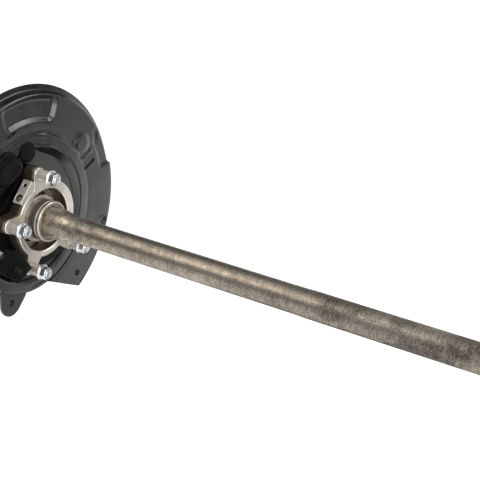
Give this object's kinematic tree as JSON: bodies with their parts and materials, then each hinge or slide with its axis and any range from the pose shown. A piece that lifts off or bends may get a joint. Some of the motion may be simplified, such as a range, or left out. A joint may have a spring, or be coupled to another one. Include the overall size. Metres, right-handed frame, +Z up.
{
  "type": "rear axle shaft assembly",
  "caption": "Rear axle shaft with wheel flange, pressed bearing in its bolted case, speed sensor ring, splined end and stamped brake backing plate.",
  "frame": {"origin": "on the shaft's axis, in the plane of the bearing case's machined inboard face", "axes": "+X along the shaft towards the splined inboard end, +Z up with the case's gap between ears to the right of it, -X towards the wheel"},
  "size_m": [0.788, 0.336, 0.3123],
  "materials": {
    "forged_steel": "bare forged steel with brown-grey mill scale, matt and mottled",
    "machined_steel": "bare forging, machined silver faces with brownish as-forged walls",
    "ground_steel": "ground and oiled bearing steel",
    "bright_zinc": "bright zinc plate with a faint blue cast",
    "black_coat": "black electrocoat, soft satin",
    "black_rubber": "moulded black rubber, dull",
    "cage_steel": "plain pressed steel"
  },
  "bodies": {
    "case": {"anchor_plate": "black_coat", "backing_plate": "black_coat", "bearing_case": "machined_steel", "bearing_outer_ring": "ground_steel", "bearing_snap_ring": "ground_steel", "bolt_sleeve_1": "machined_steel", "bolt_sleeve_2": "machined_steel", "bolt_sleeve_3": "machined_steel", "bolt_sleeve_4": "machined_steel", "bracket_bolt": "bright_zinc", "cable_boot": "black_rubber", "cable_bracket": "black_coat", "caliper_weld_nut_1": "black_coat", "caliper_weld_nut_2": "black_coat", "case_bolt_1": "bright_zinc", "case_bolt_2": "bright_zinc", "case_bolt_3": "bright_zinc", "case_bolt_4": "bright_zinc", "flange_nut_1": "bright_zinc", "flange_nut_2": "bright_zinc", "flange_nut_3": "bright_zinc", "flange_nut_4": "bright_zinc", "hub_seal_cup": "machined_steel", "hub_seal_lip": "black_rubber", "inspection_plug": "black_rubber"},
    "axle": {"axle_shaft": "forged_steel", "bearing_inner_ring": "ground_steel", "retaining_collar": "ground_steel", "speed_sensor_ring": "ground_steel", "wheel_stud_1": "bright_zinc", "wheel_stud_2": "bright_zinc", "wheel_stud_3": "bright_zinc", "wheel_stud_4": "bright_zinc", "wheel_stud_5": "bright_zinc", "wheel_stud_6": "bright_zinc"},
    "ball_cage": {"bearing_ball_1": "ground_steel", "bearing_ball_2": "ground_steel", "bearing_ball_3": "ground_steel", "bearing_ball_4": "ground_steel", "bearing_ball_5": "ground_steel", "bearing_ball_6": "ground_steel", "bearing_ball_7": "ground_steel", "bearing_ball_8": "ground_steel", "bearing_ball_9": "ground_steel", "bearing_cage": "cage_steel"}
  },
  "joints": [
    {"name": "axle_spin", "type": "hinge", "parent": "case", "child": "axle", "pos_m": [0, 0, 0], "axis": [1, 0, 0], "continuous": true},
    {"name": "cage_orbit", "type": "hinge", "parent": "case", "child": "ball_cage", "pos_m": [-0.036, 0, 0], "axis": [1, 0, 0], "continuous": true}
  ],
  "couplings": [
    {"joint": "cage_orbit", "follows": "axle_spin", "ratio": 0.4}
  ]
}
